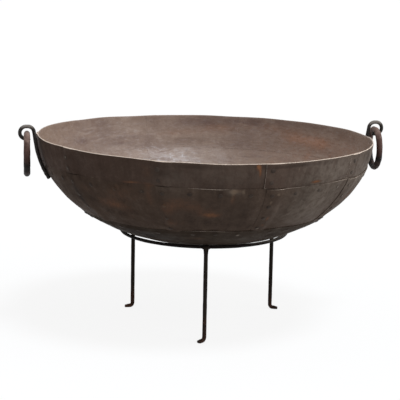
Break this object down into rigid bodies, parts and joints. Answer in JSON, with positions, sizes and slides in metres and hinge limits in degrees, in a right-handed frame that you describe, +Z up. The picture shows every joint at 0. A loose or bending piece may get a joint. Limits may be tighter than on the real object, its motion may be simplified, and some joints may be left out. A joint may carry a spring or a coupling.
{
  "type": "kadai fire pit",
  "caption": "Wide shallow riveted iron fire bowl with loose ring handles, resting in a low stand of round bar with bent-toe legs.",
  "frame": {"origin": "on the floor under the middle of the stand", "axes": "+Z up out of the bowl, +X through the right handle, so the handles lie on +X and -X"},
  "size_m": [0.8972, 0.8021, 0.485],
  "materials": {
    "rim_iron": "rusted, smoke-darkened sheet, worn bright at the edge",
    "wall_iron": "rusted, smoke-darkened hammered sheet",
    "base_iron": "rusted, smoke-darkened hammered sheet",
    "rivet_iron": "hand-peened, rubbed",
    "handle_iron": "forged, blackened",
    "ring_iron": "forged, rubbed by hands",
    "stand_iron": "black rod, dull"
  },
  "bodies": {
    "stand": {"stand_hoop": "stand_iron", "leg_front": "stand_iron", "leg_back_left": "stand_iron", "leg_back_right": "stand_iron", "leg_welds": "stand_iron"},
    "bowl": {"rim_plate_01": "rim_iron", "rim_plate_02": "rim_iron", "rim_plate_03": "rim_iron", "rim_plate_04": "rim_iron", "rim_plate_05": "rim_iron", "rim_plate_06": "rim_iron", "rim_plate_07": "rim_iron", "rim_plate_08": "rim_iron", "rim_plate_09": "rim_iron", "rim_plate_10": "rim_iron", "wall_plate_01": "wall_iron", "wall_plate_02": "wall_iron", "wall_plate_03": "wall_iron", "wall_plate_04": "wall_iron", "wall_plate_05": "wall_iron", "wall_plate_06": "wall_iron", "wall_plate_07": "wall_iron", "wall_plate_08": "wall_iron", "wall_plate_09": "wall_iron", "wall_plate_10": "wall_iron", "base_dish": "base_iron", "rim_seam_rivets": "rivet_iron", "band_seam_rivets": "rivet_iron", "wall_seam_rivets": "rivet_iron", "base_seam_rivets": "rivet_iron", "handle_rivets": "rivet_iron", "handle_left": "handle_iron", "handle_right": "handle_iron"},
    "ring_left": {"ring_left": "ring_iron"},
    "ring_right": {"ring_right": "ring_iron"}
  },
  "joints": [
    {"name": "bowl_lift", "type": "slide", "parent": "stand", "child": "bowl", "axis": [0, 0, 1], "range_m": [0, 0.25]},
    {"name": "ring_left_swing", "type": "hinge", "parent": "bowl", "child": "ring_left", "pos_m": [-0.42758, 0, 0.46432], "axis": [0.1045, 0.9945, 0], "range_deg": [-16, 256]},
    {"name": "ring_right_swing", "type": "hinge", "parent": "bowl", "child": "ring_right", "pos_m": [0.42758, 0, 0.46432], "axis": [-0.0698, -0.9976, 0], "range_deg": [-16, 275]}
  ]
}
